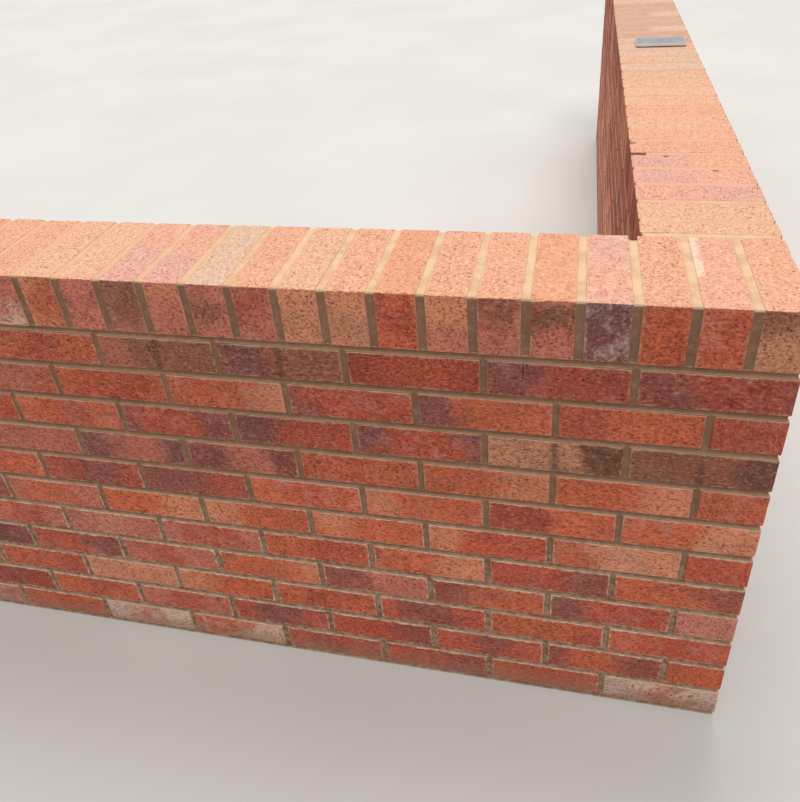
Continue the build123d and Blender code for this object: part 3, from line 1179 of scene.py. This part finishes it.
def fill_perpends(arm):
    bag = Bag(arm)
    seed = 0.0
    inner_start = THICKNESS - BRICK_WIDTH
    for course in range(1, COURSES + 1):
        outer_joints, inner_joints, closer = bond[arm, course]
        low = COURSE_LOW[course - 1] - LAP
        tall = BRICK_HEIGHT + 2 * LAP
        for joints, side, start in ((outer_joints, "outer", 0.0), (inner_joints, "inner", inner_start)):
            for joint in joints:
                seed += SEED_STEP
                block = pressed_block(tall, BRICK_WIDTH, PERPEND, (side,), seed, JOINT_SPACING[side])
                put_upright(bag, block, joint, start, low)
        if closer:
            seed += SEED_STEP
            block = pressed_block(tall, THICKNESS, PERPEND, ("outer", "inner"), seed, THROUGH_SPACING)
            put_upright(bag, block, closer - PERPEND, 0.0, low)
            stop = closer
        else:
            stop = ARM_LENGTH[arm]
        first = BRICK_WIDTH + PERPEND
        gap = THICKNESS - 2 * BRICK_WIDTH
        seed += SEED_STEP
        sides = () if closer else ("inner",)
        points, faces = pressed_block(tall, stop - first, gap, sides, seed, COLLAR_SPACING)
        bag.put(first + points[:, 1], BRICK_WIDTH + points[:, 2], low + points[:, 0], faces)
    bag.dress(f"{arm}_upright_mortar", mortar, f"{arm}_collar_joint")


for arm in ARMS:
    fill_perpends(arm)
so_far("upright joints")

# %% [markdown]
# ## Fill the bed joints
# A bed joint runs the whole length of its arm. Where an upright joint meets it, the bar went
# through both, so the edge of the bed is pressed in there as well.

# %% Bed joints
BED_SPACING = 16 * MM
LEAST_PRESS = 0.35
SHARES_AT_JOINT = (-0.1, 0.2, 0.5, 0.8, 1.1)
BED_SEED_STEP = 3.3
COPING_BED_SEED = 77.0
FOOT_BED_SEED = 99.0
OVERLAP = 2 * MM


def meeting(joints_above, joints_below, start):
    """How far the bed's edges are pressed in beside the upright joints of two courses."""
    def depth(run, share, side):
        if side not in ("outer", "inner"):
            return 0.0
        which = 0 if side == "outer" else 1
        upper = joints_above[which] if joints_above else []
        lower = joints_below[which] if joints_below else []
        best = 0.0
        for joints, weight in ((upper, share), (lower, 1 - share)):
            for joint in joints:
                v = run + start - joint
                if -LAP < v < PERPEND + LAP:
                    best = max(best, float(pressed(v, PERPEND)) * min(1.0, LEAST_PRESS + weight))
        return best
    return depth


def bed_mesh(bag, low, height, joints_above, joints_below, seed):
    is_front = bag.arm == "front"
    start = 0.0 if is_front else THICKNESS - OVERLAP
    length = ARM_LENGTH[bag.arm] - start
    marks = []
    for group in (joints_above, joints_below):
        for joints in (group[:2] if group else []):
            marks += [joint - start + PERPEND * share for joint in joints for share in SHARES_AT_JOINT]
    crossing = meeting(joints_above, joints_below, start)
    sides = ("outer", "inner", "end") + (("start",) if is_front else ())
    buried = THICKNESS if is_front else 0.0
    marks += [buried, buried + PRESS_DEPTH]
    points, faces = pressed_block(length, THICKNESS, height, sides, seed, BED_SPACING,
                                  marks, crossing, buried)
    bag.put(start + points[:, 0], points[:, 1], low + points[:, 2], faces)


def fill_beds(arm):
    between = [(COURSE_HIGH[n - 1], BED, bond[arm, n + 1], bond[arm, n], n * BED_SEED_STEP)
               for n in range(1, COURSES)]
    under_coping = [(COURSE_HIGH[-1], BED, None, bond[arm, COURSES], COPING_BED_SEED)]
    foot = [(LAP, COURSE_LOW[0] - LAP, bond[arm, 1], None, FOOT_BED_SEED)]
    for name, node, beds in (("bed_mortar", "bed_joints", between),
                             ("coping_bed_mortar", "coping_bed", under_coping),
                             ("foot_mortar", "foot_bed", foot)):
        bag = Bag(arm)
        for bed in beds:
            bed_mesh(bag, *bed)
        bag.dress(f"{arm}_{name}", mortar, f"{arm}_{node}")


for arm in ARMS:
    fill_beds(arm)
so_far("bed joints")

# %% [markdown]
# ## The coping
# The wall is capped with bricks stood on edge across it, from the front face to the back. Their
# ends show on the face and their long sides make the top, so they weather most; their pale top
# shades are in part painted light. Their ends are named as on the face, and their tops by one
# shade, or by a near and a far one.

# %% Order of the coping bricks
FRONT_COPING = (
    "buff-brown< orange-red| orange-red| purple-plum>* rose-scorched< rose-brown< tan-rose> orange-red| "
    "tan-buff| tan-buff| rose-red| rose-brown| rose-tan< brown-rose> rose-plum| tan-orange| "
    "rose-pale>"
).split()
FRONT_TOPS = (
    "salmon pink salmon pink/lilac orange salmon salmon orange salmon peach salmon beige "
    "lilac/pink lilac/pink peach peach salmon salmon orange peach"
).split()
SIDE_TOPS = (
    "peach lilac/pink pink/lilac salmon/lilac salmon salmon peach salmon peach peach peach "
    "peach beige beige/peach beige peach/beige dusty/beige dusty beige/dusty dusty dusty beige/dusty "
    "dusty dusty"
).split()
COPING_JOINT = 12.5 * MM
HEADER_STEPS = (0.0, 1.5 * MM, 4.0 * MM)
COPING_GRID = 12 * MM
HEADER_REACH = 0.05
COPING_HEIGHT = COPING_HIGH - COPING_LOW


def top_names(word):
    names = word.split("/")
    return names[0], names[-1]


print("coping bricks placed by name:", len(FRONT_COPING), "ends and",
      len(FRONT_TOPS) + len(SIDE_TOPS), "tops")

# %% [markdown]
# ## Chips and a smear
# Three bricks of the side arm are chipped, and one of the front arm has a streak of mortar on its
# top. A chip is made by pushing the points of a corner out of a ball, and its hollow is painted
# dark as painted shade. The streak is only a stain. Both use the number that says how limed a
# point is: above nought it is lime, below nought it is the painted shade of a chip.

# %% Chips and smears
def bite(points, centre, radius):
    """Break a round chip out of a brick. Gives the new points and which of them moved."""
    away = points - np.array(centre)
    distance = np.linalg.norm(away, axis=1, keepdims=True)
    inside = distance < radius
    moved = np.where(inside, centre + away / np.maximum(distance, 1e-9) * radius, points)
    return moved, inside[:, 0]


SIDE_BITES = {
    2: ((BRICK_HEIGHT - 6 * MM, 62 * MM, COPING_HEIGHT), 8 * MM),
    3: ((BRICK_HEIGHT, 150 * MM, COPING_HEIGHT), 7 * MM),
    4: ((BRICK_HEIGHT, THICKNESS, COPING_HEIGHT), 13 * MM),
}


def streak(points, edge, low, high, width):
    """A streak of mortar left along one side of a brick's top."""
    beside = np.clip(1 - np.abs(points[:, 0] - edge) / width, 0, 1)
    ends = np.clip(np.minimum(points[:, 1] - low, high - points[:, 1]) / width, 0, 1)
    return beside * ends


FRONT_SMEARS = {0: (BRICK_HEIGHT, 70 * MM, THICKNESS + 30 * MM, 26 * MM)}
print("chipped bricks:", len(SIDE_BITES), "smeared bricks:", len(FRONT_SMEARS))

# %% [markdown]
# ## Lay the coping
# Every packed bay of the coping becomes one mesh of separate bricks. They stand a hair askew, and
# each knows which of its sides have mortar, for the smears beside the joints.

# %% Lay the coping
def coping_row(name, node, arm, starts, thickness, words, tops, bites=None, smears=None):
    """One row of bricks on edge as one mesh."""
    rng = random.Random(node)
    bag = Bag(arm)
    size = (thickness, THICKNESS, COPING_HEIGHT)
    for number, start in enumerate(starts):
        word = words[number] if number < len(words) else None
        top = top_names(tops[number] if number < len(tops) else rng.choice(FRONT_TOPS))
        points, faces = block_brick(size, COPING_GRID, rng.uniform(0, SEEDS), HEADER_STEPS)
        stain = 0.0 * points[:, 0]
        if bites and number in bites:
            points, broken = bite(points, *bites[number])
            # A chip's points get -1, which the finish paints dark as shade in the hollow.
            stain = np.where(broken, -1.0, stain)
        drop = rng.uniform(0, SET_BACK) * SLIP
        skew = rng.uniform(-1, 1) * SLIP / THICKNESS
        along = start + points[:, 0] + skew * (points[:, 1] - THICKNESS / 2)
        local = np.stack([points[:, 2] - COPING_HEIGHT / 2, points[:, 0],
                          points[:, 1] - THICKNESS / 2], axis=1)
        bedded = [(2, 0)]
        if start > MM:
            bedded.append((0, 0))
        if start + thickness < ARM_LENGTH[arm] - MM:
            bedded.append((0, 1))
        joint = nearest_joint(points, size, bedded)
        if smears and number in smears:
            stain = stain + streak(points, *smears[number])
        bag.put(along, points[:, 1], COPING_LOW + points[:, 2] - drop, faces, brick_at=local,
                to_joint=joint, limed=stain[:, None], **firing(rng, word, top, HEADER_REACH))
    bag.dress(name, coping_clay, node)


def starts_in(node, arm):
    """Where the bricks of one packed coping bay start."""
    low, high = node_span(node, arm)
    room = high - low - BRICK_HEIGHT
    count = round(room / (BRICK_HEIGHT + COPING_JOINT)) + 1
    return [low + i * (room / (count - 1)) for i in range(count)]


coping_starts = {"front": [0.0], "side": []}
coping_row("corner_coping", "corner_coping_brick", "front", [0.0], BRICK_HEIGHT,
           FRONT_COPING[:1], FRONT_TOPS[:1])
cut_low, cut_high = node_span("cut_coping_brick", "side")
coping_row("cut_coping", "cut_coping_brick", "side", [cut_low], cut_high - cut_low,
           ["orange-salmon|"], ["peach"])
for arm, words, tops in (("front", FRONT_COPING[1:], FRONT_TOPS[1:]), ("side", [], SIDE_TOPS)):
    bays = sum(name.startswith(f"{arm}_coping_bay_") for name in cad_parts)
    used = 0
    for bay in range(1, bays + 1):
        node = f"{arm}_coping_bay_{bay}"
        starts = starts_in(node, arm)
        bites = SIDE_BITES if arm == "side" and bay == 1 else None
        smears = FRONT_SMEARS if arm == "front" and bay == 1 else None
        coping_row(f"{node}_bricks", node, arm, starts, BRICK_HEIGHT, words[used:], tops[used:],
                   bites, smears)
        coping_starts[arm] += starts
        used += len(starts)
print("coping bricks:", {arm: len(starts) for arm, starts in coping_starts.items()})

# %% [markdown]
# ## The coping joints
# The joints between the coping bricks are wider than the rest and pressed over the top and down
# both faces. At the garden side a little mortar has fallen out of two of them.

# %% Coping joints
LOSSES = {"front": {2: 16 * MM}, "side": {5: 30 * MM}}
LOSS_DEPTH = 35 * MM
LOSS_RAGGED = 4 * MM
LOSS_WANDER = 10 * MM
TOP_SHARE = 0.5
TOP_SPACING = 9 * MM
COPING_SEED = 300
COPING_SEED_STEP = 2.1
MOST_SKIN = 0.85
SKIN_START = {"front": 0.0, "side": 0.35}
SKIN_GROWTH = {"front": 0.05, "side": 0.12}


def open_hole(run, down, lost, seed):
    """Draw back the garden end of a joint where mortar has fallen out."""
    spots = np.stack([run, down, np.zeros_like(run)], axis=1)
    wall = THICKNESS - lost + LOSS_RAGGED * waver(spots, LOSS_WANDER, seed)
    return np.where(down < LOSS_DEPTH, np.minimum(run, wall), run)


def coping_joint_mesh(arm):
    bag = Bag(arm)
    starts = coping_starts[arm]
    gaps = [(a + BRICK_HEIGHT, b) for a, b in zip(starts, starts[1:])]
    if arm == "side":
        gaps = [(THICKNESS, cut_low), (cut_high, starts[0])] + gaps
    for number, (start, end) in enumerate(gaps):
        inside_corner = arm == "front" and end < THICKNESS
        sides = ("outer", "end") if inside_corner else ("outer", "start", "end")
        seed = number * COPING_SEED_STEP + COPING_SEED
        points, faces = pressed_block(THICKNESS, COPING_HEIGHT, end - start, sides, seed, TOP_SPACING,
                                      outer_share=TOP_SHARE)
        run = THICKNESS - points[:, 0]
        down = points[:, 1]
        if number in LOSSES[arm]:
            run = open_hole(run, down, LOSSES[arm][number], seed)
        skin = min(SKIN_START[arm] + SKIN_GROWTH[arm] * number, MOST_SKIN)
        bag.put(start + points[:, 2], run, COPING_HIGH - down, faces, limed=[[skin]])
    bag.dress(f"{arm}_coping_mortar", mortar, f"{arm}_coping_joints")


for arm in ARMS:
    coping_joint_mesh(arm)
so_far("coping joints")

# %% [markdown]
# ## The plate on the side arm
# A thin grey plate lies on the side arm. It is a plain honed stone, so its shape stays as packed
# and it only gets a finish: fine grain and soft clouds, a painted highlight on its upright sides,
# and a painted shadow line where it lies on the bricks.

# %% The grey plate
# Heights above the coping where the painted shadow line under the plate fades out.
PAINTED_SHADOW_LINE = (1.6 * MM, 3.2 * MM)


def honed_stone():
    n = Nodes(bpy.data.materials.new("honed_grey_stone"))
    at = n.place()
    clouds = n.grain(at, 40 * MM, 4.0, 0.6)
    grit = n.grain(at, 1.5 * MM, 2.0, 0.7)
    colour = n.blend(n.fit(clouds, 0.3, 0.7), srgb(128, 134, 142), srgb(154, 158, 164))
    # Painted highlight: the upright sides of the plate are painted pale.
    painted_edge_highlight = n.fit(n.upness(), 0.5, 0.95, 1.0, 0.0)
    colour = n.blend(n.times(painted_edge_highlight, 0.9), colour, srgb(232, 226, 220))
    # Painted shadow: a dark line along the foot of the plate where it lies on the bricks.
    painted_shadow = n.swayed(n.split(at)[2], clouds, 2 * MM)
    painted_shadow = n.fit(painted_shadow, *[COPING_HIGH + level for level in PAINTED_SHADOW_LINE], 1.0, 0.0)
    colour = n.blend(n.times(painted_shadow, 0.9), colour, srgb(66, 54, 46))
    colour = n.shade(colour, grit, 0.3, 0.7, 0.88, 1.1)
    return n.surface(colour, 0.6, n.bump(grit, 0.5 * MM, 0.5), 0.4)


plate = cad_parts["wall_plate"]
plate.data.materials.clear()
plate.data.materials.append(honed_stone())
print("plate finish:", plate.data.materials[0].name)

# %% [markdown]
# ## Floor and light
# The wall stands on a plain pale floor under soft light. Most of the light comes from above and
# behind, as on a bright overcast day, so the top of the wall is lighter than its face. The floor
# is one large face with faint clouds, wide enough for any view.

# %% Floor
FLOOR_SIZE = 60.0
FLOOR_CLOUDS = 0.9
FLOOR_CORNERS = ((-1, -1), (1, -1), (1, 1), (-1, 1))


def pale_floor():
    n = Nodes(bpy.data.materials.new("pale_floor"))
    clouds = n.fit(n.grain(n.place(), FLOOR_CLOUDS, 2.0, 0.5), 0.3, 0.7)
    colour = n.blend(clouds, srgb(214, 212, 208), srgb(219, 217, 213))
    return n.surface(colour, 0.95, None, 0.1)


floor_mesh = bpy.data.meshes.new("studio_floor")
corners = [(x * FLOOR_SIZE / 2, y * FLOOR_SIZE / 2, 0) for x, y in FLOOR_CORNERS]
floor_mesh.from_pydata(corners, [], [(0, 1, 2, 3)])
floor_mesh.materials.append(pale_floor())
floor = bpy.data.objects.new("studio_floor", floor_mesh)
bpy.context.collection.objects.link(floor)
print("floor:", FLOOR_SIZE, "metres square")

# %% [markdown]
# ## The sky and the lamps
# The sky gives a weak light from all round. What the camera and shiny surfaces see of it, past
# the edge of the floor, is a pale backdrop. It takes its own node, picked by the kind of ray, so
# it makes the picture pale without lighting the wall more.

# %% Light
world = bpy.data.worlds.new("soft_sky")
bpy.context.scene.world = world
n = Nodes(world)
sky = n.add("ShaderNodeBackground", {"Color": (0.96, 0.98, 1.0, 1.0), "Strength": 0.36})
backdrop = n.add("ShaderNodeBackground", {"Color": srgb(233, 232, 229), "Strength": 1.0})
ray = n.add("ShaderNodeLightPath").outputs
seen = n.most(n.most(ray["Is Camera Ray"], ray["Is Glossy Ray"]), ray["Is Transmission Ray"])
either = n.add("ShaderNodeMixShader", {0: seen, 1: sky.outputs[0], 2: backdrop.outputs[0]})
n.add("ShaderNodeOutputWorld", {"Surface": either.outputs[0]})


def soft_sun(name, strength, spread, towards, colour):
    light = bpy.data.lights.new(name, "SUN")
    light.energy = strength
    light.angle = math.radians(spread)
    light.color = colour
    lamp = bpy.data.objects.new(name, light)
    lamp.rotation_euler = Vector(towards).to_track_quat("-Z", "Y").to_euler()
    bpy.context.collection.objects.link(lamp)


soft_sun("light_from_behind", 1.83, 40, (0.2, -0.5, -1.0), (1.0, 0.98, 0.95))
soft_sun("light_from_the_front", 1.35, 28, (-0.15, 0.58, -1.0), (1.0, 0.99, 0.98))

# %% [markdown]
# ## The camera
# The camera stands where the photographer stood: its place, its turn and its lens were worked out
# from the brick joints, whose spacing is known. The photograph's middle isn't where the lens
# pointed, so the camera is shifted.

# %% Camera
SENSOR = 36.0
IMAGE_LONG_SIDE = 802
FOCAL_PIXELS = 744.7
PRINCIPAL_POINT = (398.75, 310.84)
IMAGE_CENTRE = (400.0, 401.0)
CAMERA_PLACE = (-0.2149, -1.0267, 1.5116)
CAMERA_TURN = (57.988, 4.388, 12.371)
camera_data = bpy.data.cameras.new("photo_camera")
camera_data.sensor_width = SENSOR
camera_data.lens = FOCAL_PIXELS * SENSOR / IMAGE_LONG_SIDE
camera_data.shift_x = (IMAGE_CENTRE[0] - PRINCIPAL_POINT[0]) / IMAGE_LONG_SIDE
camera_data.shift_y = (PRINCIPAL_POINT[1] - IMAGE_CENTRE[1]) / IMAGE_LONG_SIDE
camera = bpy.data.objects.new("photo_camera", camera_data)
camera.location = CAMERA_PLACE
camera.rotation_euler = [math.radians(angle) for angle in CAMERA_TURN]
bpy.context.collection.objects.link(camera)
bpy.context.scene.camera = camera
bpy.context.scene.view_settings.view_transform = "Standard"
print("lens", round(camera_data.lens, 2), "mm")

# %% [markdown]
# ## Triangle counts
# The largest pieces and the number of triangles in all are printed.

# %% Count the triangles and finish
LISTED = 5
for name, count in sorted(triangles.items(), key=lambda item: -item[1])[:LISTED]:
    print("largest pieces:", name, count)
print("triangles in all:", sum(triangles.values()))
